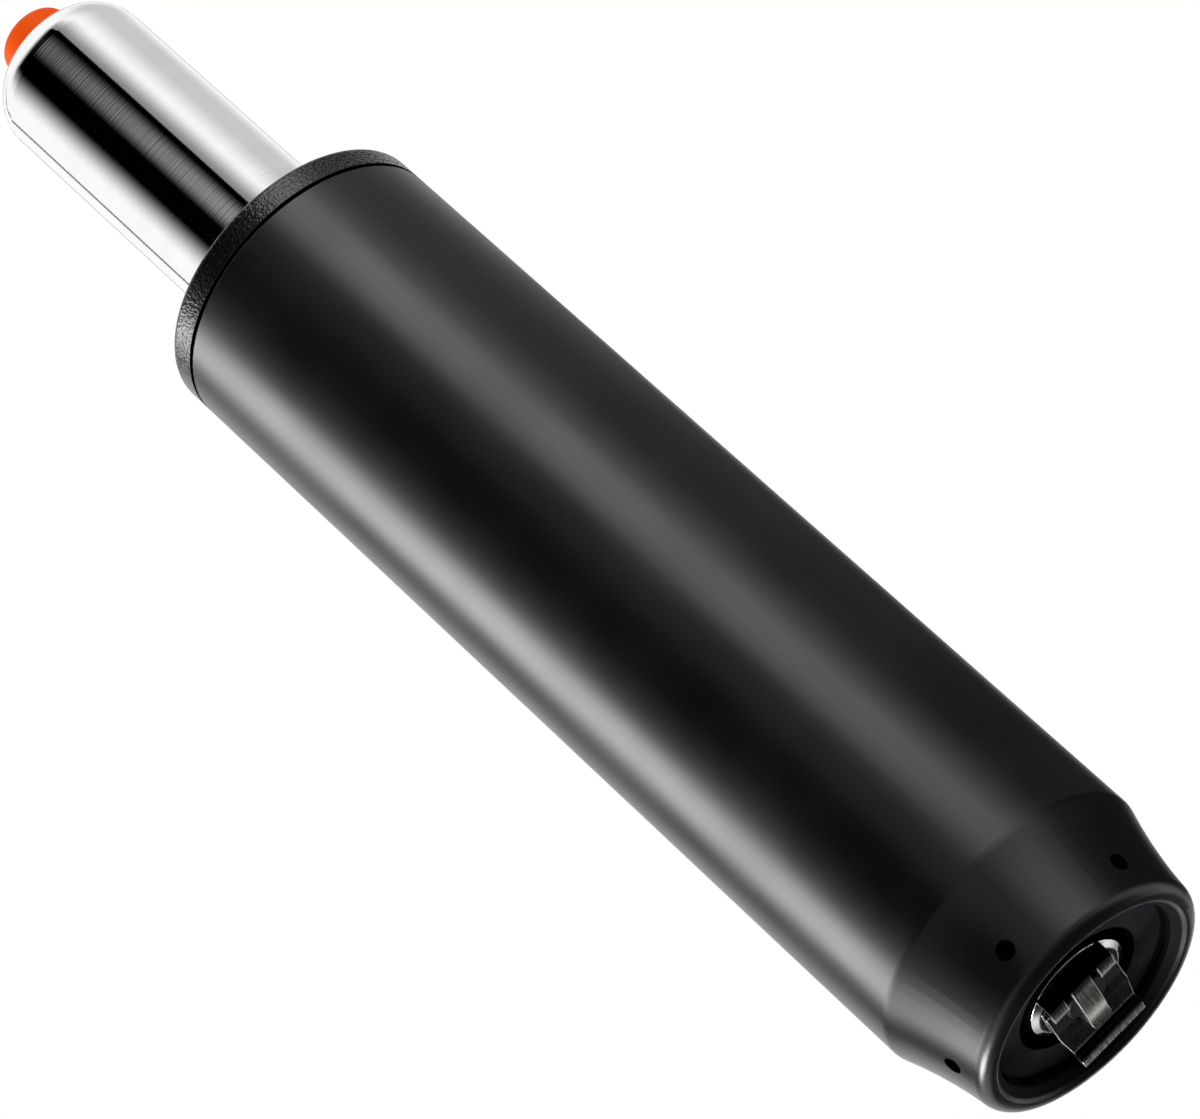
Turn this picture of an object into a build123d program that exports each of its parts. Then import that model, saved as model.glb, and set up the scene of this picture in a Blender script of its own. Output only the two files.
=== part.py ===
from build123d import *
import math
import os

# Chair gas lift in millimetres, standing upright on the rim of its outer tube.
# The axis is Z. The origin is on the axis, in the plane of the rim.
# The front, -Y, is the side that the holes' first turn is counted from.
# A fit is a clearance on the radius.

# outer tube, necked in at its lower end
tube_d = 50.0
tube_wall = 2.0
tube_length = 182.4
tube_top_chamfer = 0.3
neck_height = 17.4
neck_arc_r = 72.0
shoulder_round = 3.0
rim_d = 43.0
rim_round = 2.3
rim_land = 0.5
rim_land_round = 0.4
rim_dish = 1.6
rim_hole_d = 33.8
rim_hole_round = 0.3
lip_t = 2.5
weld_hole_d = 3.0
weld_hole_count = 6
weld_hole_turn = -7.5

# guide bush with its collar
collar_height = 5.1
collar_round = 0.9
collar_seam = 0.25
bore_chamfer = 0.8
bush_length = 75.0
bush_wall = 2.4
bush_ring_t = 2.0
bush_rib_t = 1.6
bush_rib_relief = 0.3
bush_rib_count = 12
bush_fit = 0.05

# bottom plate, held in the neck
plate_t = 5.2
plate_skirt_height = 0.9
plate_skirt_t = 1.8
plate_fit = 0.06
counterbore_d = 21.6
counterbore_depth = 1.0
counterbore_chamfer = 0.5
shank_fit = 0.05

# thrust bearing
ball_d = 4.0
ball_count = 12
ball_circle_d = 19.0
ball_gap = 0.05
race_t = 2.0
race_edge = 1.5
race_bore_gap = 0.2
race_gap = 3.2
race_round = 0.4
cage_t = 1.6
cage_edge = 1.4
cage_gap = 0.15

# piston rod
rod_d = 10.0
shank_d = 8.0
rod_head_d = 7.6
rod_head_t = 0.75
rod_head_chamfer = 0.25
rod_groove_d = 6.4
stud_d = 6.0
rivet_d = 8.0
rivet_t = 1.5
rod_chamfer = 0.4

# washer and retaining clip on the rod's lower end
end_washer_d = 18.0
end_washer_t = 1.5
end_washer_bevel = 1.3
end_washer_bevel_height = 0.6
end_washer_round = 0.25
washer_bore_gap = 0.15
clip_t = 0.9
clip_gap = 0.1
clip_turn = 5.5
clip_half_width = 6.85
clip_leg_outer = 6.3
clip_slot_gap = 0.1
clip_back = 8.5
clip_back_bend = 1.2
clip_leg_step = 3.2
clip_joggle_start = 4.5
clip_joggle_end = 6.0
clip_joggle = 0.35
clip_lip_reach = 15.2
clip_lip_slope = 1.5
clip_taper_length = 5.7
clip_taper = 0.55
clip_tongue_width = 3.8
clip_tongue_clear = 0.05
clip_tongue_drop_start = 4.2
clip_tongue_drop_end = 6.6
clip_tongue_reach = 9.9
clip_bend = 0.5

# rubber stop and its load washer
buffer_washer_t = 1.5
buffer_washer_d = 24.0
buffer_d = 22.0
buffer_height = 9.4
buffer_waist = 1.6
buffer_fit = 0.1
buffer_gap = 0.4

# chromed pressure tube
sleeve_d = 28.0
sleeve_wall = 1.7
sleeve_shown = 65.4
sleeve_hole_land = 0.1
sleeve_groove_depth = 0.25
sleeve_groove_width = 1.2
sleeve_groove_lead = 0.3
sleeve_lip_hole_d = 20.0
lift_stroke = 80.0

# lower closure round the rod
guide_length = 10.0
guide_nose = 1.2
seal_length = 8.0
seal_groove_t = 1.6
seal_groove_depth = 5.0
seat_t = 1.5
seat_spigot = 3.0
closure_fit = 0.05
rod_fit = 0.05
stop_tube_d = 18.0
stop_tube_wall = 3.4
stop_gap = 0.3

# inner tube and piston
inner_d = 22.0
inner_wall = 1.0
piston_length = 10.0
piston_fit = 0.05
piston_seal_t = 3.0
piston_seal_depth = 2.0
piston_washer_t = 1.0
piston_washer_d = 16.0
piston_gap = 1.0

# lock valve and button
button_d = 13.0
button_shown = 6.5
button_round = 2.0
button_crown = 0.35
button_fit = 0.2
button_flange_d = 15.6
button_flange_t = 1.8
button_flange_gap = 0.5
button_travel = 3.0
button_clear = 0.4
pin_d = 3.0
pin_fit = 0.05
pin_socket = 3.0
poppet_d = 6.0
poppet_t = 2.5
poppet_chamfer = 0.8
valve_length = 28.0
valve_spigot = 6.0
valve_neck = 5.0
valve_chamfer = 1.0
valve_chamber_d = 4.8
valve_chamber_depth = 8.5
port_d = 2.0
ring_t = 2.0
ring_gap = 0.05
ring_squeeze_gap = 0.1
valve_ring_shares = (0.3, 0.7)
pin_ring_t = 1.6

# a cutter reaches this far past what it cuts
overrun = 2.0

# radii
tube_r = tube_d / 2
tube_inner_r = tube_r - tube_wall
rim_r = rim_d / 2
rim_hole_r = rim_hole_d / 2
sleeve_r = sleeve_d / 2
sleeve_inner_r = sleeve_r - sleeve_wall
sleeve_groove_r = sleeve_r - sleeve_groove_depth
rod_r = rod_d / 2
shank_r = shank_d / 2
inner_r = inner_d / 2 - inner_wall
ball_r = ball_d / 2
ball_circle_r = ball_circle_d / 2
race_r = ball_circle_r + ball_r + race_edge
button_r = button_d / 2
pin_r = pin_d / 2
slot_r = rod_groove_d / 2 + clip_slot_gap
closure_r = sleeve_inner_r - closure_fit
stud_bore_r = stud_d / 2 + closure_fit
button_hole_r = button_r + button_fit
sleeve_end_round = sleeve_r - button_hole_r - sleeve_hole_land

# heights in the lower end, upwards from the rim
plate_z = lip_t + plate_skirt_height
plate_top = plate_z + plate_t
washer_top = plate_z + counterbore_depth
washer_z = washer_top - end_washer_t
clip_face = washer_z - clip_t
head_top = clip_face - clip_gap
rod_end = head_top - rod_head_t
race_top = plate_top + race_t
ball_z = race_top + race_gap / 2
upper_race_z = race_top + race_gap
load_washer_z = upper_race_z + race_t
shoulder_z = load_washer_z + buffer_washer_t
buffer_top = shoulder_z + buffer_height

# heights in the cylinder, upwards from its lower end
sleeve_z = buffer_top + buffer_gap
guide_z = sleeve_z + sleeve_wall
seal_z = guide_z + guide_length
seat_z = seal_z + seal_length
inner_z = seat_z + seat_t
spigot_top = inner_z + seat_spigot

# heights at the upper end, downwards from the chromed top
collar_top = tube_length + collar_height
sleeve_groove_z = collar_top + sleeve_groove_lead
sleeve_groove_top = sleeve_groove_z + sleeve_groove_width
sleeve_top = collar_top + sleeve_shown
button_top = sleeve_top + button_shown
flange_top = sleeve_top - sleeve_wall - button_flange_gap
flange_z = flange_top - button_flange_t
valve_top = flange_z - button_travel - button_clear
valve_z = valve_top - valve_length
inner_top = valve_z + valve_spigot
valve_neck_top = inner_top + valve_neck
poppet_top = valve_z - pin_fit
poppet_z = poppet_top - poppet_t
rod_top = poppet_z - button_travel - piston_gap
rivet_z = rod_top - rivet_t
piston_top = rivet_z - piston_washer_t
piston_z = piston_top - piston_length
stop_tube_top = piston_z - lift_stroke - stop_gap


def outline_face(start, *steps):
    # closed outline of (radius, height) points; a step is a point, or a (middle, end) pair for an arc
    edges = []
    here = start
    for step in list(steps) + [start]:
        if isinstance(step[0], tuple):
            edges.append(ThreePointArc(here, step[0], step[1]))
            here = step[1]
        else:
            edges.append(Line(here, step))
            here = step
    return make_face(edges)


def on_arc(centre, radius, degrees):
    # point of a circle in the (radius, height) plane, at an angle from the outward direction
    turn = math.radians(degrees)
    return centre[0] + radius * math.cos(turn), centre[1] + radius * math.sin(turn)


def rounded(face, corners):
    # fillets the corners of an outline, given as (point, radius)
    for point, radius in corners:
        corner = face.vertices().sort_by_distance(Vector(*point))[0]
        face = fillet(corner, radius)
    return face


def turned(face):
    # solid of revolution about the lift's axis
    return revolve(Plane.XZ * face, Axis.Z)


def ring(inner, outer, low, high):
    # plain turned ring
    return turned(outline_face((inner, low), (outer, low), (outer, high), (inner, high)))


def disc(radius, low, high):
    # plain round disc, used whole or as a cutter
    return turned(outline_face((0, low), (radius, low), (radius, high), (0, high)))


def neck_centre():
    # centre of the arc in the (radius, height) plane that curves the neck in from the tube to the rim
    across = tube_r - rim_r
    up = neck_height - rim_round
    chord = math.hypot(across, up)
    reach = math.sqrt(neck_arc_r ** 2 - (chord / 2) ** 2)
    middle_r = (tube_r + rim_r) / 2
    middle_z = (neck_height + rim_round) / 2
    return middle_r + reach * up / chord, middle_z - reach * across / chord


def neck_radius(height, depth):
    # radius of the neck at a height, on the surface that lies so deep inside the outer one
    centre_r, centre_z = neck_centre()
    return centre_r - math.sqrt((neck_arc_r + depth) ** 2 - (height - centre_z) ** 2)


def neck_inner_top():
    # height at which the inner face of the neck meets the bore of the tube
    centre_r, centre_z = neck_centre()
    return centre_z + math.sqrt((neck_arc_r + tube_wall) ** 2 - (centre_r - tube_inner_r) ** 2)


def outer_tube():
    middle = (neck_height + rim_round) / 2
    inner_top_z = neck_inner_top()
    inner_middle = (inner_top_z + lip_t) / 2
    lip_r = neck_radius(lip_t, tube_wall)
    land_r = rim_r - rim_round - rim_land
    # the rim turns in to a narrow land, then dishes up to the opening
    face = outline_face(
        (rim_hole_r, rim_dish),
        (land_r, 0),
        (rim_r - rim_round, 0),
        (on_arc((rim_r - rim_round, rim_round), rim_round, -45), (rim_r, rim_round)),
        ((neck_radius(middle, 0), middle), (tube_r, neck_height)),
        (tube_r, tube_length),
        (tube_inner_r, tube_length),
        (tube_inner_r, inner_top_z),
        ((neck_radius(inner_middle, tube_wall), inner_middle), (lip_r, lip_t)),
        (rim_hole_r, lip_t),
    )
    face = rounded(face, [
        ((rim_hole_r, rim_dish), rim_hole_round),
        ((land_r, 0), rim_land_round),
        ((tube_r, neck_height), shoulder_round),
    ])
    face = chamfer(face.vertices().sort_by_distance(Vector(tube_r, tube_length))[0], tube_top_chamfer)
    tube = turned(face)
    hole_z = plate_z + plate_t / 2
    cutter = Pos(tube_r / 2, 0, hole_z) * Rot(0, 90, 0) * Cylinder(weld_hole_d / 2, tube_r + overrun)
    for index in range(weld_hole_count):
        turn = weld_hole_turn - 90 + index * 360 / weld_hole_count
        tube -= Rot(0, 0, turn) * cutter
    return tube


def guide_bush():
    bore_r = sleeve_r + bush_fit
    wall_r = bore_r + bush_wall
    outer_r = tube_inner_r - bush_fit
    low = tube_length - bush_length
    face = outline_face(
        (bore_r, low),
        (outer_r, low),
        (outer_r, low + bush_ring_t),
        (wall_r, low + bush_ring_t),
        (wall_r, tube_length - bush_ring_t),
        (outer_r, tube_length - bush_ring_t),
        (outer_r, tube_length),
        (tube_r - collar_seam, tube_length),
        (tube_r, tube_length + collar_seam),
        (tube_r, collar_top),
        (bore_r, collar_top),
    )
    face = rounded(face, [((tube_r, collar_top), collar_round)])
    for height in (low, collar_top):
        face = chamfer(face.vertices().sort_by_distance(Vector(bore_r, height))[0], bore_chamfer)
    bush = turned(face)
    rib_outer = outer_r - bush_rib_relief
    rib_length = rib_outer - wall_r + bush_wall / 2
    rib_low = low + bush_ring_t / 2
    rib_height = bush_length - bush_ring_t
    rib = Pos(rib_outer - rib_length / 2, 0, rib_low + rib_height / 2) * Box(rib_length, bush_rib_t, rib_height)
    for index in range(bush_rib_count):
        bush += Rot(0, 0, index * 360 / bush_rib_count) * rib
    return bush


def bottom_plate():
    low_r = neck_radius(plate_z, tube_wall) - plate_fit
    high_r = neck_radius(plate_top, tube_wall) - plate_fit
    foot_r = neck_radius(lip_t, tube_wall) - plate_fit
    bore_r = shank_r + shank_fit
    skirt_r = foot_r - plate_skirt_t
    recess_r = counterbore_d / 2
    face = outline_face(
        (bore_r, washer_top),
        (recess_r, washer_top),
        (recess_r, plate_z),
        (skirt_r, plate_z),
        (skirt_r, lip_t),
        (foot_r, lip_t),
        (low_r, plate_z),
        (high_r, plate_top),
        (bore_r, plate_top),
    )
    face = chamfer(face.vertices().sort_by_distance(Vector(recess_r, plate_z))[0], counterbore_chamfer)
    return turned(face)


def bearing_race(low):
    bore_r = shank_r + race_bore_gap
    face = outline_face((bore_r, low), (race_r, low), (race_r, low + race_t), (bore_r, low + race_t))
    face = rounded(face, [((race_r, low), race_round), ((race_r, low + race_t), race_round)])
    groove = Pos(0, 0, ball_z) * Torus(ball_circle_r, ball_r + ball_gap)
    return turned(face) - groove


def lower_race():
    return bearing_race(plate_top)


def upper_race():
    return bearing_race(upper_race_z)


def ball_places():
    # places of the bearing balls round the axis
    return [Rot(0, 0, index * 360 / ball_count) * Pos(ball_circle_r, 0, ball_z) for index in range(ball_count)]


def bearing_balls():
    return Compound(children=[place * Sphere(ball_r) for place in ball_places()])


def ball_cage():
    inner = ball_circle_r - ball_r - cage_edge
    outer = ball_circle_r + ball_r + cage_edge
    cage = ring(inner, outer, ball_z - cage_t / 2, ball_z + cage_t / 2)
    for place in ball_places():
        cage -= place * Cylinder(ball_r + cage_gap, cage_t + overrun)
    return cage


def piston_rod():
    head_r = rod_head_d / 2
    groove_r = rod_groove_d / 2
    groove_top = washer_z + clip_gap
    rivet_r = rivet_d / 2
    stud_r = stud_d / 2
    face = outline_face(
        (0, rod_end),
        (head_r, rod_end),
        (head_r, head_top),
        (groove_r, head_top),
        (groove_r, groove_top),
        (shank_r, groove_top),
        (shank_r, shoulder_z),
        (rod_r, shoulder_z),
        (rod_r, piston_z),
        (stud_r, piston_z),
        (stud_r, rivet_z),
        (rivet_r, rivet_z),
        (rivet_r, rod_top),
        (0, rod_top),
    )
    face = chamfer(face.vertices().sort_by_distance(Vector(head_r, rod_end))[0], rod_head_chamfer)
    for point in ((shank_r, groove_top), (rod_r, piston_z), (rivet_r, rod_top)):
        face = chamfer(face.vertices().sort_by_distance(Vector(*point))[0], rod_chamfer)
    return turned(face)


def end_washer():
    bore_r = shank_r + washer_bore_gap
    outer_r = end_washer_d / 2
    bevel_r = outer_r - end_washer_bevel
    bevel_z = washer_z + end_washer_bevel_height
    face = outline_face(
        (bore_r, washer_z),
        (bevel_r, washer_z),
        (outer_r, bevel_z),
        (outer_r, washer_top),
        (bore_r, washer_top),
    )
    return turned(rounded(face, [
        ((bore_r, washer_z), end_washer_round),
        ((bevel_r, washer_z), end_washer_bevel),
        ((outer_r, bevel_z), end_washer_round),
    ]))


def bent_strip(path, half_width, bends):
    # strip of the clip's sheet: a side view of (reach, height) points with its (point, radius) bends,
    # as wide as given each side of the middle
    face = rounded(make_face(Polyline(*path, close=True)), bends)
    return extrude(Plane.YZ * face, half_width, both=True)


def retaining_clip():
    arch_face = rod_end - clip_tongue_clear - clip_t
    joggle_face = clip_face - clip_joggle
    lip_back = clip_lip_reach - 2 * clip_t
    plate_end = lip_back - clip_lip_slope
    step_back = clip_leg_step + clip_t
    foot_front = clip_back - clip_t
    body_path = [
        (-clip_back, arch_face),
        (-clip_leg_step, arch_face),
        (-clip_leg_step, clip_face),
        (clip_joggle_start, clip_face),
        (clip_joggle_end, joggle_face),
        (plate_end, joggle_face),
        (lip_back, arch_face),
        (clip_lip_reach, arch_face),
        (clip_lip_reach, joggle_face + clip_t),
        (clip_joggle_end, joggle_face + clip_t),
        (clip_joggle_start, washer_z),
        (-step_back, washer_z),
        (-step_back, arch_face + clip_t),
        (-foot_front, arch_face + clip_t),
        (-foot_front, washer_z),
        (-clip_back, washer_z),
    ]
    bends = [
        ((-clip_back, arch_face), clip_back_bend),
        ((-foot_front, arch_face + clip_t), clip_back_bend - clip_t),
        ((-clip_leg_step, arch_face), clip_bend),
        ((clip_lip_reach, joggle_face + clip_t), clip_bend),
        ((-step_back, washer_z), clip_bend),
    ]
    body = bent_strip(body_path, clip_half_width, bends)
    reach = clip_lip_reach + overrun
    height = washer_z + overrun
    # the slot that the groove of the rod stands in, open to the back as far as the foot
    slot_back = clip_back - clip_back_bend
    slot = Pos(0, -slot_back / 2, height / 2) * Box(2 * slot_r, slot_back, height)
    slot += Pos(0, 0, height / 2) * Cylinder(slot_r, height)
    body -= slot
    # the legs and the foot are narrower than the plate
    trim = clip_half_width - clip_leg_outer
    for side in (-1, 1):
        middle = side * (clip_leg_outer + trim)
        body -= Pos(middle, -reach / 2 - clip_leg_step + clip_bend, height / 2) * Box(2 * trim, reach, 2 * height)
    # the plate tapers a little to the hemmed lip, which slants up from its end
    for side in (-1, 1):
        corner = make_face(Polyline(
            (side * (clip_half_width + overrun), plate_end - clip_taper_length),
            (side * clip_half_width, plate_end - clip_taper_length),
            (side * (clip_half_width - clip_taper), plate_end),
            (side * (clip_half_width - clip_taper), reach),
            (side * (clip_half_width + overrun), reach),
            close=True,
        ))
        body -= extrude(corner, height)
    # the tongue runs from the foot over the end of the rod and lies on the plate
    tongue_end = joggle_face - clip_t
    tongue_path = [
        (-clip_back, arch_face),
        (clip_tongue_drop_start, arch_face),
        (clip_tongue_drop_end, tongue_end),
        (clip_tongue_reach, tongue_end),
        (clip_tongue_reach, joggle_face),
        (clip_tongue_drop_end - clip_bend, joggle_face),
        (clip_tongue_drop_start - clip_bend, arch_face + clip_t),
        (-foot_front, arch_face + clip_t),
        (-foot_front, washer_z),
        (-clip_back, washer_z),
    ]
    tongue = bent_strip(tongue_path, clip_tongue_width / 2, [
        ((-clip_back, arch_face), clip_back_bend),
        ((-foot_front, arch_face + clip_t), clip_back_bend - clip_t),
    ])
    tip_r = clip_tongue_width / 2
    plan = Pos(0, (clip_tongue_reach - tip_r - clip_back) / 2, 0) * Rectangle(
        clip_tongue_width, clip_tongue_reach - tip_r + clip_back)
    plan += Pos(0, clip_tongue_reach - tip_r, 0) * Circle(tip_r)
    tongue = tongue & extrude(plan, height)
    return Rot(0, 0, clip_turn) * (body + tongue)


def buffer_washer():
    return ring(shank_r + washer_bore_gap, buffer_washer_d / 2, load_washer_z, shoulder_z)


def buffer():
    bore_r = rod_r + buffer_fit
    outer_r = buffer_d / 2
    waist_r = outer_r - buffer_waist
    middle = (shoulder_z + buffer_top) / 2
    return turned(outline_face(
        (bore_r, shoulder_z),
        (outer_r, shoulder_z),
        ((waist_r, middle), (outer_r, buffer_top)),
        (bore_r, buffer_top),
    ))


def cylinder_sleeve():
    round_r = sleeve_r - sleeve_end_round
    round_z = sleeve_top - sleeve_end_round
    inner_round = sleeve_inner_r - round_r
    lip_r = sleeve_lip_hole_d / 2
    # a shallow groove above the collar ends the sliding length, and the part that takes the seat starts there
    face = outline_face(
        (lip_r, sleeve_z),
        (sleeve_r, sleeve_z),
        (sleeve_r, sleeve_groove_z),
        (sleeve_groove_r, sleeve_groove_z),
        (sleeve_groove_r, sleeve_groove_top),
        (sleeve_r, sleeve_groove_top),
        (sleeve_r, round_z),
        (on_arc((round_r, round_z), sleeve_end_round, 45), (round_r, sleeve_top)),
        (button_hole_r, sleeve_top),
        (button_hole_r, sleeve_top - sleeve_wall),
        (round_r, sleeve_top - sleeve_wall),
        (on_arc((round_r, round_z), inner_round, 45), (sleeve_inner_r, round_z)),
        (sleeve_inner_r, guide_z),
        (lip_r, guide_z),
    )
    return turned(rounded(face, [((sleeve_r, sleeve_z), sleeve_wall)]))


def rod_guide():
    bore_r = rod_r + rod_fit
    nose_r = sleeve_lip_hole_d / 2 - closure_fit
    return turned(outline_face(
        (bore_r, guide_z - guide_nose),
        (nose_r, guide_z - guide_nose),
        (nose_r, guide_z),
        (closure_r, guide_z),
        (closure_r, seal_z),
        (bore_r, seal_z),
    ))


def rod_seal():
    bore_r = rod_r + rod_fit
    middle = (bore_r + closure_r) / 2
    half = seal_groove_t / 2
    return turned(outline_face(
        (bore_r, seal_z),
        (closure_r, seal_z),
        (closure_r, seat_z),
        (middle + half, seat_z),
        (middle + half, seat_z - seal_groove_depth),
        (middle - half, seat_z - seal_groove_depth),
        (middle - half, seat_z),
        (bore_r, seat_z),
    ))


def tube_seat():
    bore_r = rod_r + buffer_fit
    spigot_r = inner_r - closure_fit
    return turned(outline_face(
        (bore_r, seat_z),
        (closure_r, seat_z),
        (closure_r, inner_z),
        (spigot_r, inner_z),
        (spigot_r, spigot_top),
        (bore_r, spigot_top),
    ))


def stop_tube():
    outer_r = stop_tube_d / 2
    return ring(outer_r - stop_tube_wall, outer_r, spigot_top, stop_tube_top)


def inner_tube():
    return ring(inner_r, inner_d / 2, inner_z, inner_top)


def piston():
    body = ring(stud_bore_r, inner_r - piston_fit, piston_z, piston_top)
    middle = (piston_z + piston_top) / 2
    half = piston_seal_t / 2 + ring_gap
    return body - ring(inner_r - piston_seal_depth - ring_gap, inner_r + overrun, middle - half, middle + half)


def piston_seal():
    middle = (piston_z + piston_top) / 2
    half = piston_seal_t / 2
    return ring(inner_r - piston_seal_depth, inner_r - piston_fit / 2, middle - half, middle + half)


def piston_washer():
    return ring(stud_bore_r, piston_washer_d / 2, piston_top, rivet_z)


def valve_ring_heights():
    # middles of the two grooves, evenly spaced in the wide part of the valve body
    span = valve_top - valve_chamfer - valve_neck_top
    return [valve_neck_top + span * share for share in valve_ring_shares]


def valve_body():
    spigot_r = inner_r - closure_fit
    neck_r = inner_d / 2
    bore_r = pin_r + pin_fit
    chamber_r = valve_chamber_d / 2
    chamber_top = valve_z + valve_chamber_depth
    face = outline_face(
        (bore_r, valve_z),
        (spigot_r, valve_z),
        (spigot_r, inner_top),
        (neck_r, inner_top),
        (neck_r, valve_neck_top),
        (closure_r, valve_neck_top),
        (closure_r, valve_top),
        (bore_r, valve_top),
    )
    face = chamfer(face.vertices().sort_by_distance(Vector(closure_r, valve_top))[0], valve_chamfer)
    body = turned(face)
    # chamber round the pin, and the port from it to the gap outside the inner tube
    body -= disc(chamber_r, valve_z + poppet_chamfer, chamber_top)
    port_z = inner_top + port_d / 2 + closure_fit
    body -= Pos(neck_r / 2, 0, port_z) * Rot(0, 90, 0) * Cylinder(port_d / 2, neck_r + overrun)
    for height in valve_ring_heights():
        groove_r = closure_r - ring_t + ring_squeeze_gap
        half = ring_t / 2 + ring_gap
        body -= ring(groove_r - ring_squeeze_gap, closure_r + overrun, height - half, height + half)
    seal_half = pin_ring_t / 2 + ring_gap
    seal_z_middle = pin_seal_height()
    body -= disc(pin_r + pin_ring_t + ring_squeeze_gap, seal_z_middle - seal_half, seal_z_middle + seal_half)
    return body


def pin_seal_height():
    # middle of the pin's seal, half way between the chamber and the top of the valve body
    return (valve_z + valve_chamber_depth + valve_top) / 2


def valve_o_rings():
    major = closure_r - ring_t / 2
    return Compound(children=[Pos(0, 0, height) * Torus(major, ring_t / 2) for height in valve_ring_heights()])


def pin_seal():
    major = pin_r + pin_fit + pin_ring_t / 2
    return Pos(0, 0, pin_seal_height()) * Torus(major, pin_ring_t / 2)


def release_button():
    flange_r = button_flange_d / 2
    edge_z = button_top - button_crown
    crown_r = (button_r ** 2 + button_crown ** 2) / (2 * button_crown)
    half_turn = math.asin(button_r / crown_r) / 2
    crown_point = (crown_r * math.sin(half_turn), button_top - crown_r * (1 - math.cos(half_turn)))
    face = outline_face(
        (0, flange_z),
        (flange_r, flange_z),
        (flange_r, flange_top),
        (button_r, flange_top),
        (button_r, edge_z),
        (crown_point, (0, button_top)),
    )
    face = rounded(face, [((button_r, edge_z), button_round)])
    return turned(face) - disc(pin_r + pin_fit, flange_z - overrun, flange_z + pin_socket + pin_fit)


def valve_pin():
    poppet_r = poppet_d / 2
    pin_top = flange_z + pin_socket
    face = outline_face(
        (0, poppet_z),
        (poppet_r, poppet_z),
        (poppet_r, poppet_top),
        (pin_r, poppet_top),
        (pin_r, pin_top),
        (0, pin_top),
    )
    face = chamfer(face.vertices().sort_by_distance(Vector(poppet_r, poppet_z))[0], poppet_chamfer)
    return turned(face)


pieces = {
    "outer_tube": outer_tube,
    "guide_bush": guide_bush,
    "bottom_plate": bottom_plate,
    "lower_race": lower_race,
    "upper_race": upper_race,
    "bearing_balls": bearing_balls,
    "ball_cage": ball_cage,
    "piston_rod": piston_rod,
    "end_washer": end_washer,
    "retaining_clip": retaining_clip,
    "buffer_washer": buffer_washer,
    "buffer": buffer,
    "cylinder_sleeve": cylinder_sleeve,
    "rod_guide": rod_guide,
    "rod_seal": rod_seal,
    "tube_seat": tube_seat,
    "stop_tube": stop_tube,
    "inner_tube": inner_tube,
    "piston": piston,
    "piston_seal": piston_seal,
    "piston_washer": piston_washer,
    "valve_body": valve_body,
    "valve_o_rings": valve_o_rings,
    "pin_seal": pin_seal,
    "release_button": release_button,
    "valve_pin": valve_pin,
}

os.makedirs("parts", exist_ok=True)
for name, make in pieces.items():
    shape = make()
    export_step(shape, "parts/" + name + ".step")
    print(name, round(shape.volume, 1))
print("stands", round(button_top, 2), "mm tall; lift", lift_stroke, "mm")
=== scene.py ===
import math
import bmesh
import bpy
from mathutils import Matrix, Vector


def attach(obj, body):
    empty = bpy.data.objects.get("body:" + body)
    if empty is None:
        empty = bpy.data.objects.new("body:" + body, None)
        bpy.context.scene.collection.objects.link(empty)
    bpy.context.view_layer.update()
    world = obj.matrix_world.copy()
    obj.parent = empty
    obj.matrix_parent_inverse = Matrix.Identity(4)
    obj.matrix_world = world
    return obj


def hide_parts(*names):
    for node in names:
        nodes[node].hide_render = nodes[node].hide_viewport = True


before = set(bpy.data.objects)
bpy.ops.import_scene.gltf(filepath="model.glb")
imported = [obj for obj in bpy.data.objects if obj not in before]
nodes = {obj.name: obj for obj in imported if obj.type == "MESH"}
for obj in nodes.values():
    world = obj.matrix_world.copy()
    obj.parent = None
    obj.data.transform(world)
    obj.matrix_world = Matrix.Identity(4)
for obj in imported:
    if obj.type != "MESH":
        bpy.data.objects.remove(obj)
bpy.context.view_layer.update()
scene = bpy.context.scene
mm = 0.001

# the photograph's camera: its place in metres, its lens and sensor in millimetres
view = {
    "location": (0.0, -0.80237, -0.34922),
    "forward": (-0.00069, 0.86750, 0.49743),
    "up": (0.73937, -0.33447, 0.58435),
    "lens": 180.0,
    "sensor": 36.0,
    "clip": (0.01, 100.0),
}


def setCamera():
    data = bpy.data.cameras.new("photoView")
    data.lens = view["lens"]
    data.sensor_width = view["sensor"]
    data.clip_start, data.clip_end = view["clip"]
    camera = bpy.data.objects.new("photoView", data)
    scene.collection.objects.link(camera)
    forward = Vector(view["forward"]).normalized()
    right = forward.cross(Vector(view["up"])).normalized()
    up = right.cross(forward)
    camera.matrix_world = Matrix.LocRotScale(
        Vector(view["location"]), Matrix((right, up, -forward)).transposed(), None)
    scene.camera = camera


setCamera()
scene.view_settings.view_transform = "Standard"
print("camera set")


# small helpers for node trees
def grey(level):
    return (level, level, level, 1.0)


def addNode(tree, kind, **values):
    node = tree.nodes.new(kind)
    for name, value in values.items():
        setattr(node, name, value)
    return node


def feed(tree, socket, value):
    # a socket is linked, anything else becomes the socket's own value
    if isinstance(value, bpy.types.NodeSocket):
        tree.links.new(value, socket)
    else:
        socket.default_value = value


def calc(tree, operation, a, b=None, c=None):
    node = addNode(tree, "ShaderNodeMath", operation=operation)
    for socket, value in zip(node.inputs, (a, b, c)):
        if value is not None:
            feed(tree, socket, value)
    return node.outputs[0]


def axisDistance(tree, x, y):
    return calc(tree, "SQRT", calc(tree, "ADD", calc(tree, "MULTIPLY", x, x), calc(tree, "MULTIPLY", y, y)))


def smoothRange(tree, value, low, high, toLow=0.0, toHigh=1.0):
    node = addNode(tree, "ShaderNodeMapRange", interpolation_type="SMOOTHSTEP")
    for name, entry in (("Value", value), ("From Min", low), ("From Max", high),
                        ("To Min", toLow), ("To Max", toHigh)):
        feed(tree, node.inputs[name], entry)
    return node.outputs["Result"]


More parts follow.
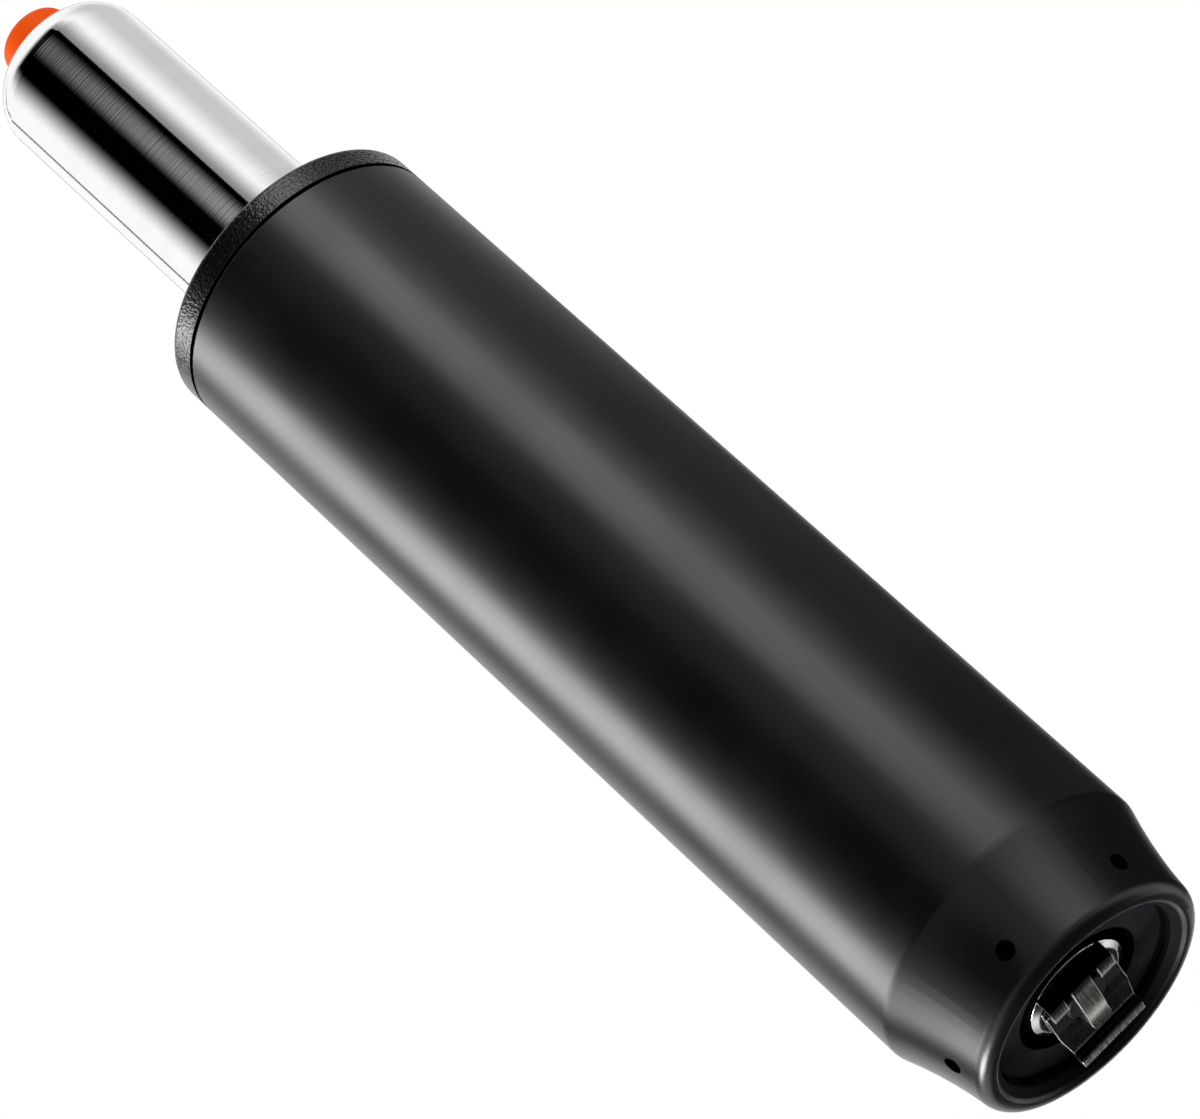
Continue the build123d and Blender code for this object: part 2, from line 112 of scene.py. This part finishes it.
# the Mix node's sockets for A, for B and for the result, by the kind of its data
mixSockets = {"FLOAT": (2, 3, 0), "RGBA": (6, 7, 2)}


def mixAny(tree, kind, factor, a, b, blend="MIX"):
    node = addNode(tree, "ShaderNodeMix", data_type=kind, blend_type=blend)
    first, second, result = mixSockets[kind]
    for index, value in ((0, factor), (first, a), (second, b)):
        feed(tree, node.inputs[index], value)
    return node.outputs[result]


def mixValue(tree, factor, a, b):
    return mixAny(tree, "FLOAT", factor, a, b)


def mixColor(tree, factor, a, b, blend="MIX"):
    return mixAny(tree, "RGBA", factor, a, b, blend)


def separate(tree, vector):
    node = addNode(tree, "ShaderNodeSeparateXYZ")
    feed(tree, node.inputs[0], vector)
    return node.outputs


def combine(tree, x, y, z):
    node = addNode(tree, "ShaderNodeCombineXYZ")
    for socket, value in zip(node.inputs, (x, y, z)):
        feed(tree, socket, value)
    return node.outputs[0]


def addNoise(tree, place, scale, detail):
    noise = addNode(tree, "ShaderNodeTexNoise")
    for name, value in (("Vector", place), ("Scale", scale), ("Detail", detail)):
        feed(tree, noise.inputs[name], value)
    return noise.outputs["Fac"]


def newGroup(name, inputs, outputs):
    tree = bpy.data.node_groups.new(name, "ShaderNodeTree")
    for way, sockets in (("INPUT", inputs), ("OUTPUT", outputs)):
        for socket in sockets:
            tree.interface.new_socket(socket, in_out=way, socket_type="NodeSocketFloat")
    source = addNode(tree, "NodeGroupInput").outputs
    result = addNode(tree, "NodeGroupOutput").inputs
    return tree, source, result


def placeGroup(tree, group, values):
    node = addNode(tree, "ShaderNodeGroup", node_tree=group)
    for name, value in values.items():
        feed(tree, node.inputs[name], value)
    return node.outputs


# the room round the object, as reflections and soft light see it; all heights are in degrees
studio = {
    "open": 1.0,                    # brightness of the white room in a reflection
    "openHeights": (52.0, 68.0),    # the cards give way to the white room
    "diffuse": 0.62,                # brightness of the soft light
    # cards seen by reflections: azimuth, half width and softness in degrees, brightness
    "cards": {
        "rightShade": (-60.0, 18.0, 16.0, 0.26),
        "dark": (-118.0, 41.0, 23.0, 0.0),
        "darkEdge": (-92.0, 33.0, 1.0, 0.0),
        "darkMiddle": (-87.5, 12.5, 10.0, 0.17),
        "greySide": (20.0, 32.0, 22.0, 0.6),
        "leftSlit": (143.0, 2.4, 1.6, 0.16),
    },
    # cards whose brightness changes between two heights, and its factor at each
    "fades": {"darkMiddle": (32.0, 39.6, 1.95, 0.05)},
    # seen by the chromed tube alone, as the thin grey outline of its sides
    "highCards": {"outline": (90.0, 15.0, 4.0, 0.5)},
    # cards that stand lower, are seen by the outer tube alone and darken downwards
    "lowCards": {
        "lowSide": (25.0, 48.0, 10.0, 0.08),
        "lowSlit": (147.0, 11.0, 9.0, 0.24),
    },
    "lowHeights": (34.5, 31.0),
    "lowFade": (22.0, 36.0, 0.25, 1.6),
    # below the horizon: a bright table edge all round, with gaps in it, and dark further down
    "table": 0.9,
    "tableHeights": (-7.0, -15.0),
    "gaps": {"farGap": (90.0, 22.0, 8.0, 0.012), "nearGap": (-90.0, 52.0, 20.0, 0.25)},
    "gapHeights": (-8.0, -18.0),
    "under": 0.02,
    "underHeights": (-34.0, -46.0),
}


def cardGroup():
    # full inside the card's width, and gone outside it
    tree, source, result = newGroup("studioCard", ("Azimuth", "Centre", "Half Width", "Softness"), ("Mask",))
    turn = calc(tree, "SUBTRACT", source["Azimuth"], source["Centre"])
    turn = calc(tree, "ABSOLUTE", calc(tree, "WRAP", turn, 180.0, -180.0))
    inner = calc(tree, "SUBTRACT", source["Half Width"], source["Softness"])
    outer = calc(tree, "ADD", source["Half Width"], source["Softness"])
    feed(tree, result["Mask"], smoothRange(tree, turn, inner, outer, 1.0, 0.0))
    return tree


def setWorld():
    world = bpy.data.worlds.new("studio")
    world.use_nodes = True
    tree = world.node_tree
    tree.nodes.clear()
    card = cardGroup()
    way = separate(tree, addNode(tree, "ShaderNodeTexCoord").outputs["Generated"])
    azimuth = calc(tree, "DEGREES", calc(tree, "ARCTAN2", way["Y"], way["X"]))
    height = calc(tree, "DEGREES", calc(tree, "ARCSINE", way["Z"]))

    def cardMask(centre, half, soft):
        return placeGroup(tree, card, {
            "Azimuth": azimuth, "Centre": centre, "Half Width": half, "Softness": soft})["Mask"]

    light = studio["open"]
    for name, (*shape, bright) in studio["cards"].items():
        if name in studio["fades"]:
            bright = calc(tree, "MULTIPLY", smoothRange(tree, height, *studio["fades"][name]), bright)
        light = mixValue(tree, cardMask(*shape), light, bright)
    low = smoothRange(tree, height, *studio["lowHeights"])
    fade = smoothRange(tree, height, *studio["lowFade"])
    for *shape, bright in studio["lowCards"].values():
        mask = calc(tree, "MULTIPLY", cardMask(*shape), low)
        light = mixValue(tree, mask, light, calc(tree, "MULTIPLY", fade, bright))
    high = calc(tree, "SUBTRACT", 1.0, low)
    for *shape, bright in studio["highCards"].values():
        light = mixValue(tree, calc(tree, "MULTIPLY", cardMask(*shape), high), light, bright)
    light = mixValue(tree, smoothRange(tree, height, *studio["openHeights"]), light, studio["open"])
    table = studio["table"]
    deep = smoothRange(tree, height, *studio["gapHeights"])
    for *shape, bright in studio["gaps"].values():
        table = mixValue(tree, calc(tree, "MULTIPLY", cardMask(*shape), deep), table, bright)
    table = mixValue(tree, smoothRange(tree, height, *studio["underHeights"]), table, studio["under"])
    light = mixValue(tree, smoothRange(tree, height, *studio["tableHeights"]), light, table)
    # the camera sees plain white, and soft light is even
    path = addNode(tree, "ShaderNodeLightPath").outputs
    seen = mixValue(tree, path["Is Glossy Ray"], studio["diffuse"], light)
    plain = calc(tree, "MAXIMUM", path["Is Camera Ray"], path["Is Transmission Ray"])
    background = addNode(tree, "ShaderNodeBackground")
    feed(tree, background.inputs["Color"], grey(1.0))
    feed(tree, background.inputs["Strength"], mixValue(tree, plain, seen, 1.0))
    feed(tree, addNode(tree, "ShaderNodeOutputWorld").inputs["Surface"], background.outputs[0])
    scene.world = world


# strip lamps, in metres and degrees: the fades are shares of the strip, and its brightness rises
# between two heights, given as shares too, from a level to full
lamps = {
    "leftStrip": {"azimuth": 177.0, "distance": 0.9, "low": -0.5, "high": 0.94, "width": 0.64,
                  "sideFade": 0.3, "endFade": 0.1, "rise": (0.0, 0.9, 0.0), "radiance": 8.2},
    "rightStrip": {"azimuth": -54.0, "distance": 0.6, "low": -0.12, "high": 0.76, "width": 0.42,
                   "sideFade": 0.2, "endFade": 0.1, "rise": (0.36, 0.73, 0.4), "radiance": 3.1},
    "rimStrip": {"azimuth": 162.0, "distance": 0.6, "low": -0.40, "high": -0.12, "width": 0.3,
                 "sideFade": 0.2, "endFade": 0.1, "rise": (0.0, 0.1, 0.0), "radiance": 22.0},
}


def addLamp(name, spec):
    data = bpy.data.lights.new(name, "AREA")
    data.shape = "RECTANGLE"
    data.size = spec["width"]
    data.size_y = spec["high"] - spec["low"]
    data.energy = spec["radiance"] * math.pi * data.size * data.size_y
    # Parametric runs from 0 to 1 across the strip and up it, so its middle is at a half
    data.use_nodes = True
    tree = data.node_tree
    half = 0.5
    share = separate(tree, addNode(tree, "ShaderNodeNewGeometry").outputs["Parametric"])
    offset = calc(tree, "ABSOLUTE", calc(tree, "SUBTRACT", share["X"], half))
    fade = smoothRange(tree, offset, half, half - spec["sideFade"])
    for shape in ((0.0, spec["endFade"]), (1.0, 1.0 - spec["endFade"]), spec["rise"]):
        fade = calc(tree, "MULTIPLY", fade, smoothRange(tree, share["Y"], *shape))
    feed(tree, tree.nodes["Emission"].inputs["Strength"], fade)
    lamp = bpy.data.objects.new(name, data)
    scene.collection.objects.link(lamp)
    turn = math.radians(spec["azimuth"])
    up = Vector((0.0, 0.0, 1.0))
    out = Vector((math.cos(turn), math.sin(turn), 0.0))
    place = out * spec["distance"] + up * (spec["low"] + spec["high"]) / 2
    lamp.matrix_world = Matrix.LocRotScale(place, Matrix((up.cross(out), up, out)).transposed(), None)
    lamp.visible_camera = False
    return lamp


floor = {"size": 6.0, "white": 0.86, "roughness": 0.7}


def addFloor():
    bpy.ops.mesh.primitive_plane_add(size=floor["size"], location=(0.0, 0.0, 0.0))
    plane = bpy.context.object
    plane.name = "studioFloor"
    material = bpy.data.materials.new("studioFloor")
    material.use_nodes = True
    tree = material.node_tree
    shader = tree.nodes["Principled BSDF"]
    for name, value in (("Base Color", grey(floor["white"])), ("Roughness", floor["roughness"]),
                        ("Specular IOR Level", 0.0), ("Emission Color", grey(1.0))):
        feed(tree, shader.inputs[name], value)
    # to the camera the lit floor is as white as the background, and keeps the shadow
    lift = 1.0 - studio["diffuse"] * floor["white"]
    camera = addNode(tree, "ShaderNodeLightPath").outputs["Is Camera Ray"]
    feed(tree, shader.inputs["Emission Strength"], calc(tree, "MULTIPLY", camera, lift))
    # from below it is clear
    back = addNode(tree, "ShaderNodeNewGeometry").outputs["Backfacing"]
    clear = addNode(tree, "ShaderNodeBsdfTransparent").outputs[0]
    mix = addNode(tree, "ShaderNodeMixShader")
    for socket, value in zip(mix.inputs, (back, shader.outputs[0], clear)):
        feed(tree, socket, value)
    feed(tree, tree.nodes["Material Output"].inputs["Surface"], mix.outputs[0])
    plane.data.materials.append(material)
    # it shows in no mirror, and neither lights nor shades the object
    plane.visible_shadow = False
    plane.visible_glossy = False
    plane.visible_diffuse = False
    plane.visible_transmission = False
    return plane


def keepLampsOff(strips, skipped):
    # the strips light neither the floor, where their edges would show, nor the mirror of the chrome
    unlit = bpy.data.collections.new("unlit")
    for thing in skipped:
        unlit.objects.link(thing)
    for entry in unlit.collection_objects:
        entry.light_linking.link_state = "EXCLUDE"
    for strip in strips:
        strip.light_linking.receiver_collection = unlit


setWorld()
strips = [addLamp(lampName, lampSpec) for lampName, lampSpec in lamps.items()]
keepLampsOff(strips, (addFloor(), nodes["cylinder_sleeve"]))
print("studio set")

# what the finishes share
shared = {
    "ior": 1.5,
    "specular": 0.5,
    "grainDetail": 2.0,
    "blotchDetail": 3.0,
    "lineDetail": 2.0,
    "streakWidth": 9.0,             # in lines
    "colorRange": (0.35, 0.65),     # the part of the slow noise that turns one colour into the other
    "range": (0.3, 0.7),            # the part of a noise that drives everything else
}


def grainGroup():
    # lumpy moulded or sprayed surface: height, and a mask that varies slowly; sizes in millimetres
    tree, source, result = newGroup(
        "fineGrain", ("Grain Size", "Blotch Size", "Detail"), ("Height", "Blotch"))
    place = addNode(tree, "ShaderNodeTexCoord").outputs["Object"]
    for size, detail, name in ((source["Grain Size"], source["Detail"], "Height"),
                               (source["Blotch Size"], shared["blotchDetail"], "Blotch")):
        feed(tree, result[name], addNoise(tree, place, calc(tree, "DIVIDE", 1.0 / mm, size), detail))
    return tree


def turnedGroup():
    # fine lines left by turning or grinding round the axis; pitch in millimetres
    tree, source, result = newGroup("turnedLines", ("Line Pitch", "Wander"), ("Height", "Streak"))
    x, y, z = separate(tree, addNode(tree, "ShaderNodeTexCoord").outputs["Object"])
    # radius and height advance the lines together, so flat faces get rings and walls get hoops
    along = calc(tree, "ADD", axisDistance(tree, x, y), z)
    turn = calc(tree, "ARCTAN2", y, x)
    coarse = calc(tree, "MULTIPLY", source["Line Pitch"], shared["streakWidth"])
    for pitch, name in ((source["Line Pitch"], "Height"), (coarse, "Streak")):
        point = combine(tree, calc(tree, "DIVIDE", along, calc(tree, "MULTIPLY", pitch, mm)),
                        calc(tree, "MULTIPLY", calc(tree, "SINE", turn), source["Wander"]),
                        calc(tree, "MULTIPLY", calc(tree, "COSINE", turn), source["Wander"]))
        feed(tree, result[name], addNoise(tree, point, 1.0, shared["lineDetail"]))
    return tree


fineGrain = grainGroup()
turnedLines = turnedGroup()


def newMaterial(name, metallic):
    material = bpy.data.materials.new(name)
    material.use_nodes = True
    shader = material.node_tree.nodes["Principled BSDF"]
    shader.inputs["Metallic"].default_value = metallic
    shader.inputs["IOR"].default_value = shared["ior"]
    return material, material.node_tree, shader


def addBump(tree, shader, height, depth):
    bump = addNode(tree, "ShaderNodeBump")
    for name, value in (("Height", height), ("Strength", 1.0), ("Distance", depth * mm)):
        feed(tree, bump.inputs[name], value)
    feed(tree, shader.inputs["Normal"], bump.outputs["Normal"])


def objectPlace(tree):
    # the place on the part, in millimetres
    place = separate(tree, addNode(tree, "ShaderNodeTexCoord").outputs["Object"])
    return [calc(tree, "DIVIDE", axis, mm) for axis in place]


def setLook(tree, shader, spec, color, roughness):
    specular = spec.get("specular", shared["specular"])
    # beyond a height or a radius the finish turns to another grey, roughness and specular level: painted
    # highlights and painted shade, and at the rod's end a darker tone
    for measure, start, end, level, dull, shine in spec.get("shades", ()):
        x, y, z = objectPlace(tree)
        reach = z if measure == "height" else axisDistance(tree, x, y)
        mask = smoothRange(tree, reach, start, end)
        color = mixColor(tree, mask, color, grey(level))
        roughness = mixValue(tree, mask, roughness, dull)
        specular = mixValue(tree, mask, specular, shine)
    for name, value in (("Base Color", color), ("Roughness", roughness), ("Specular IOR Level", specular)):
        feed(tree, shader.inputs[name], value)


def grainedFinish(name, spec):
    material, tree, shader = newMaterial(name, spec["metallic"])
    grain = placeGroup(tree, fineGrain, {
        "Grain Size": spec["grain"], "Blotch Size": spec["blotch"],
        "Detail": spec.get("detail", shared["grainDetail"])})
    blotch = smoothRange(tree, grain["Blotch"], *shared["colorRange"])
    color = mixColor(tree, blotch, spec["color"], spec["colorTwo"])
    roughness = smoothRange(tree, grain["Blotch"], *shared["range"], *spec["roughness"])
    setLook(tree, shader, spec, color, roughness)
    addBump(tree, shader, grain["Height"], spec["depth"])
    return material


def turnedFinish(name, spec):
    material, tree, shader = newMaterial(name, spec["metallic"])
    lines = placeGroup(tree, turnedLines, {"Line Pitch": spec["pitch"], "Wander": spec["wander"]})
    streak = smoothRange(tree, lines["Streak"], *shared["range"])
    color = mixColor(tree, streak, spec["color"], spec["colorTwo"])
    roughness = smoothRange(tree, lines["Streak"], *shared["range"], *spec["roughness"])
    setLook(tree, shader, spec, color, roughness)
    addBump(tree, shader, lines["Height"], spec["depth"])
    return material


# finishes: sizes and depths in millimetres; a shade is its measure, where its change starts and ends,
# and the grey, the roughness and the specular level beyond it; the shades paint highlights and shade, except
# the rod's darker end
grained = {
    "tubeCoating": {
        "metallic": 0.0, "color": (0.0015, 0.0015, 0.0016, 1.0), "colorTwo": (0.0026, 0.0026, 0.0027, 1.0),
        "grain": 0.9, "blotch": 26.0, "roughness": (0.27, 0.33), "depth": 0.004,
        # painted highlight: lighter grey on the tube's top edge above 182.25 mm; painted shade: the inside
        # of the rim's lip, within radius 18.0, turns black and dull
        "shades": (("height", 182.05, 182.25, 0.07, 0.35, 0.5), ("radius", 18.3, 18.0, 0.001, 0.6, 0.06)),
        "nodes": ("outer_tube",)},
    "bushPlastic": {
        "metallic": 0.0, "color": (0.0012, 0.0012, 0.0013, 1.0), "colorTwo": (0.003, 0.003, 0.0031, 1.0),
        "grain": 0.5, "blotch": 9.0, "roughness": (0.14, 0.2), "depth": 0.13, "detail": 1.5,
        # painted shade: the collar's lower edge below 182.8 mm turns black and dull, as the shadow in the
        # seam
        "shades": (("height", 183.05, 182.8, 0.0, 1.0, 0.0),),
        "nodes": ("guide_bush",)},
    "buttonPlastic": {
        "metallic": 0.0, "color": (0.87, 0.088, 0.0, 1.0), "colorTwo": (0.83, 0.078, 0.0, 1.0),
        "grain": 0.16, "blotch": 6.0, "roughness": (0.45, 0.55), "depth": 0.004, "specular": 0.08,
        "nodes": ("release_button",)},
    "plateSteel": {
        "metallic": 0.0, "color": (0.003, 0.003, 0.0035, 1.0), "colorTwo": (0.011, 0.013, 0.015, 1.0),
        "grain": 0.35, "blotch": 14.0, "roughness": (0.38, 0.55), "depth": 0.012, "specular": 0.3,
        # painted shade: black and dull beyond radius 16.5, at the edge under the rim's lip, and within
        # radius 11.2, in the counterbore round the washer
        "shades": (("radius", 16.2, 16.5, 0.0, 1.0, 0.1), ("radius", 11.5, 11.2, 0.0, 1.0, 0.02)),
        "nodes": ("bottom_plate",)},
    "blackRubber": {
        "metallic": 0.0, "color": (0.014, 0.014, 0.014, 1.0), "colorTwo": (0.022, 0.022, 0.021, 1.0),
        "grain": 0.25, "blotch": 5.0, "roughness": (0.55, 0.7), "depth": 0.01,
        "nodes": ("buffer", "rod_seal", "piston_seal", "valve_o_rings", "pin_seal")},
    "guidePlastic": {
        "metallic": 0.0, "color": (0.70, 0.68, 0.61, 1.0), "colorTwo": (0.64, 0.62, 0.56, 1.0),
        "grain": 0.3, "blotch": 8.0, "roughness": (0.38, 0.5), "depth": 0.006,
        "nodes": ("rod_guide", "tube_seat", "stop_tube")},
}
turned = {
    "chrome": {
        "metallic": 1.0, "color": (0.96, 0.96, 0.965, 1.0), "colorTwo": (0.93, 0.93, 0.935, 1.0),
        "pitch": 0.42, "wander": 0.12, "roughness": (0.03, 0.045), "depth": 0.009,
        "nodes": ("cylinder_sleeve",)},
    "washerSteel": {
        "metallic": 1.0, "color": (0.86, 0.86, 0.87, 1.0), "colorTwo": (0.78, 0.78, 0.80, 1.0),
        "pitch": 0.06, "wander": 0.4, "roughness": (0.08, 0.16), "depth": 0.0004,
        "nodes": ("end_washer", "buffer_washer", "piston_washer")},
    "groundSteel": {
        "metallic": 1.0, "color": (0.62, 0.62, 0.63, 1.0), "colorTwo": (0.54, 0.54, 0.56, 1.0),
        "pitch": 0.08, "wander": 0.5, "roughness": (0.12, 0.22), "depth": 0.0004,
        "nodes": ("lower_race", "upper_race", "bearing_balls", "inner_tube", "valve_pin")},
    "rodSteel": {
        "metallic": 1.0, "color": (0.70, 0.70, 0.71, 1.0), "colorTwo": (0.62, 0.62, 0.64, 1.0),
        "pitch": 0.1, "wander": 0.4, "roughness": (0.06, 0.12), "depth": 0.0004,
        "shades": (("height", 4.6, 4.2, 0.02, 0.4, 0.5),),
        "nodes": ("piston_rod",)},
    "turnedAluminium": {
        "metallic": 1.0, "color": (0.80, 0.81, 0.82, 1.0), "colorTwo": (0.72, 0.73, 0.75, 1.0),
        "pitch": 0.12, "wander": 0.3, "roughness": (0.2, 0.32), "depth": 0.002,
        "nodes": ("piston", "valve_body")},
    "cageBrass": {
        "metallic": 1.0, "color": (0.78, 0.55, 0.24, 1.0), "colorTwo": (0.66, 0.44, 0.17, 1.0),
        "pitch": 0.15, "wander": 0.8, "roughness": (0.22, 0.36), "depth": 0.001,
        "nodes": ("ball_cage",)},
}


def dress(name, material):
    body = nodes[name].data
    body.materials.clear()
    body.materials.append(material)


for finishes, make in ((grained, grainedFinish), (turned, turnedFinish)):
    for finishName, finish in finishes.items():
        made = make(finishName, finish)
        for nodeName in finish["nodes"]:
            dress(nodeName, made)
print("finishes made")

# the clip of spring steel, in millimetres and degrees: the CAD shape with crowned fingers and broken edges
clip = {
    "turn": 5.5,                # about the axis
    "fingers": (-8.0, 4.2),     # reach of the raised fingers, along the clip
    "slice": 0.4,               # length of one step of their crown
    "faceSlack": 0.01,          # points this close to the lowest one are on the fingers' face
    "tongueHalf": 2.2,          # half of the middle finger's width
    "tongueCrown": (0.6, 4.2, 0.24),    # where the crown starts and ends, and how high it gets
    "legCrown": (-5.2, -3.2, 0.18),
    "weld": 0.002,              # points closer than this are one
    "flatAngle": 1.0,           # faces that differ by less are one
    "sharpAngle": 35.0,         # edges beyond it are broken
    "smoothAngle": 40.0,        # edges beyond it stay sharp in the light
    "edge": 0.17,               # width of a broken edge
    "edgeSteps": 2,
}
# how bright the steel is along the clip: painted shade, black at the back, and painted highlights on the
# fingers, on the plate's bent end and on the lip
springFinishes = {
    "springSteel": {
        # raised fingers: painted shade at the back, painted highlights on the fingers and on the lip
        "raised": ((-6.4, 0.0), (-5.0, 0.5), (-3.2, 0.42), (-2.0, 0.26), (2.2, 0.8), (4.4, 0.66),
                   (6.6, 0.22), (9.9, 0.2), (13.0, 0.0), (13.5, 0.8)),
        # flat plate: dark steel, with a painted highlight along the plate's bent end and on the lip
        "flat": ((-1.5, 0.0), (3.0, 0.12), (11.1, 0.15), (11.3, 0.9), (11.75, 0.9), (11.85, 0.0),
                 (13.2, 0.0), (13.5, 0.5)),
        "roughness": (0.24, 0.34)},
    "shearedEdge": {
        # broken edges: bright steel, with painted shade at the back and before the lip, and a painted
        # highlight on the lip
        "raised": ((-7.2, 0.0), (-6.0, 0.7), (10.5, 0.7), (12.0, 0.0), (13.2, 0.0), (13.4, 0.9)),
        "flat": ((-3.5, 0.0), (-2.5, 0.7), (11.8, 0.8), (12.1, 0.0), (13.2, 0.0), (13.4, 0.9)),
        "roughness": (0.25, 0.4)},
}
# what both finishes of the clip share
spring = {
    "metallic": 1.0,
    "tint": (1.0, 0.98, 0.92, 1.0),
    "reach": (-8.5, 15.5),              # where the brightness along the clip starts and ends
    "flatHeights": (1.1, 1.4),          # the raised fingers give way to the flat plate
    "lineScales": (7.0, 0.35, 2.0),     # of the drawn lines: across the strip, along it and in height
    "lineDetail": 3.0,
    "lineBrightness": (0.65, 1.25),
    "depth": 0.006,
}


def paintedLightAlong(tree, along, steps):
    low, high = spring["reach"]
    ramp = addNode(tree, "ShaderNodeValToRGB")
    feed(tree, ramp.inputs[0], calc(tree, "DIVIDE", calc(tree, "SUBTRACT", along, low), high - low))
    stops = ramp.color_ramp.elements
    while len(stops) < len(steps):
        stops.new(0.5)
    # every stop is in its place before the first one gets its grey
    for stop, step in zip(stops, steps):
        stop.position = (step[0] - low) / (high - low)
    for stop, step in zip(stops, steps):
        stop.color = grey(step[1])
    return ramp.outputs[0]


def springFinish(name, spec):
    material, tree, shader = newMaterial(name, spring["metallic"])
    x, y, z = objectPlace(tree)
    turn = math.radians(clip["turn"])
    along = calc(tree, "MULTIPLY_ADD", y, math.cos(turn), calc(tree, "MULTIPLY", x, -math.sin(turn)))
    across = calc(tree, "MULTIPLY_ADD", x, math.cos(turn), calc(tree, "MULTIPLY", y, math.sin(turn)))
    flat = smoothRange(tree, z, *spring["flatHeights"])
    # the painted light along the clip, for the raised fingers and for the flat plate
    raised = paintedLightAlong(tree, along, spec["raised"])
    bright = mixColor(tree, flat, raised, paintedLightAlong(tree, along, spec["flat"]))
    # drawn lines run along the strip
    point = combine(tree, *(calc(tree, "MULTIPLY", value, scale)
                            for value, scale in zip((across, along, z), spring["lineScales"])))
    lines = addNoise(tree, point, 1.0, spring["lineDetail"])
    drawn = smoothRange(tree, lines, *shared["range"], *spring["lineBrightness"])
    color = mixColor(tree, 1.0, bright, spring["tint"], "MULTIPLY")
    color = mixColor(tree, 1.0, color, combine(tree, drawn, drawn, drawn), "MULTIPLY")
    feed(tree, shader.inputs["Base Color"], color)
    feed(tree, shader.inputs["Roughness"], smoothRange(tree, lines, *shared["range"], *spec["roughness"]))
    addBump(tree, shader, lines, spring["depth"])
    return material


springMaterials = [springFinish(finishName, finish) for finishName, finish in springFinishes.items()]
dress("retaining_clip", springMaterials[0])


def copyNode(nodeName, pieceName, spec):
    # a merged copy of a CAD node, with its flat faces whole again
    piece = bpy.data.objects.new(pieceName, nodes[nodeName].data.copy())
    scene.collection.objects.link(piece)
    bpy.ops.object.select_all(action="DESELECT")
    piece.select_set(True)
    bpy.context.view_layer.objects.active = piece
    bpy.ops.object.mode_set(mode="EDIT")
    bpy.ops.mesh.select_all(action="SELECT")
    bpy.ops.mesh.remove_doubles(threshold=spec["weld"] * mm)
    bpy.ops.mesh.dissolve_limited(angle_limit=math.radians(spec["flatAngle"]))
    bpy.ops.object.mode_set(mode="OBJECT")
    return piece


def crownFingers(piece, spec):
    turn = math.radians(spec["turn"])
    across = Vector((math.cos(turn), math.sin(turn), 0.0))
    along = Vector((-math.sin(turn), math.cos(turn), 0.0))
    start, end = spec["fingers"]
    bpy.ops.object.mode_set(mode="EDIT")
    for step in range(1, int((end - start) / spec["slice"])):
        bpy.ops.mesh.select_all(action="SELECT")
        bpy.ops.mesh.bisect(plane_co=along * (start + step * spec["slice"]) * mm, plane_no=along)
    bpy.ops.object.mode_set(mode="OBJECT")
    face = min(vertex.co.z for vertex in piece.data.vertices)
    for vertex in piece.data.vertices:
        if vertex.co.z - face > spec["faceSlack"] * mm:
            continue
        reach = vertex.co.dot(along) / mm
        tongue = abs(vertex.co.dot(across)) < spec["tongueHalf"] * mm
        low, high, depth = spec["tongueCrown" if tongue else "legCrown"]
        # half a slice more takes in the finger's own end
        if low < reach < high + spec["slice"] / 2:
            vertex.co.z += depth * mm * ((reach - low) / (high - low)) ** 2


def bevelEdges(piece, spec):
    # only the edges that stand out are broken
    net = bmesh.new()
    net.from_mesh(piece.data)
    weight = net.edges.layers.float.new("bevel_weight_edge")
    sharp = math.radians(spec["sharpAngle"])
    for edge in net.edges:
        if edge.is_manifold and edge.is_convex and edge.calc_face_angle() > sharp:
            edge[weight] = 1.0
    net.to_mesh(piece.data)
    net.free()
    bevel = piece.modifiers.new("edges", "BEVEL")
    bevel.width = spec["edge"] * mm
    bevel.segments = spec["edgeSteps"]
    bevel.limit_method = "WEIGHT"
    # the broken edges get the last material
    bevel.material = len(piece.data.materials) - 1
    bevel.use_clamp_overlap = False
    bpy.ops.object.modifier_apply(modifier=bevel.name)
    bpy.ops.object.shade_smooth_by_angle(angle=math.radians(spec["smoothAngle"]))
    # the flat faces stay flat in the light, and only the broken edges shade round
    even = piece.modifiers.new("normals", "WEIGHTED_NORMAL")
    even.keep_sharp = True
    bpy.ops.object.modifier_apply(modifier=even.name)


def makeClip():
    piece = copyNode("retaining_clip", "springClip", clip)
    crownFingers(piece, clip)
    piece.data.materials.clear()
    for material in springMaterials:
        piece.data.materials.append(material)
    bevelEdges(piece, clip)
    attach(piece, "rod")
    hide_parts("retaining_clip")


makeClip()
print("clip made")
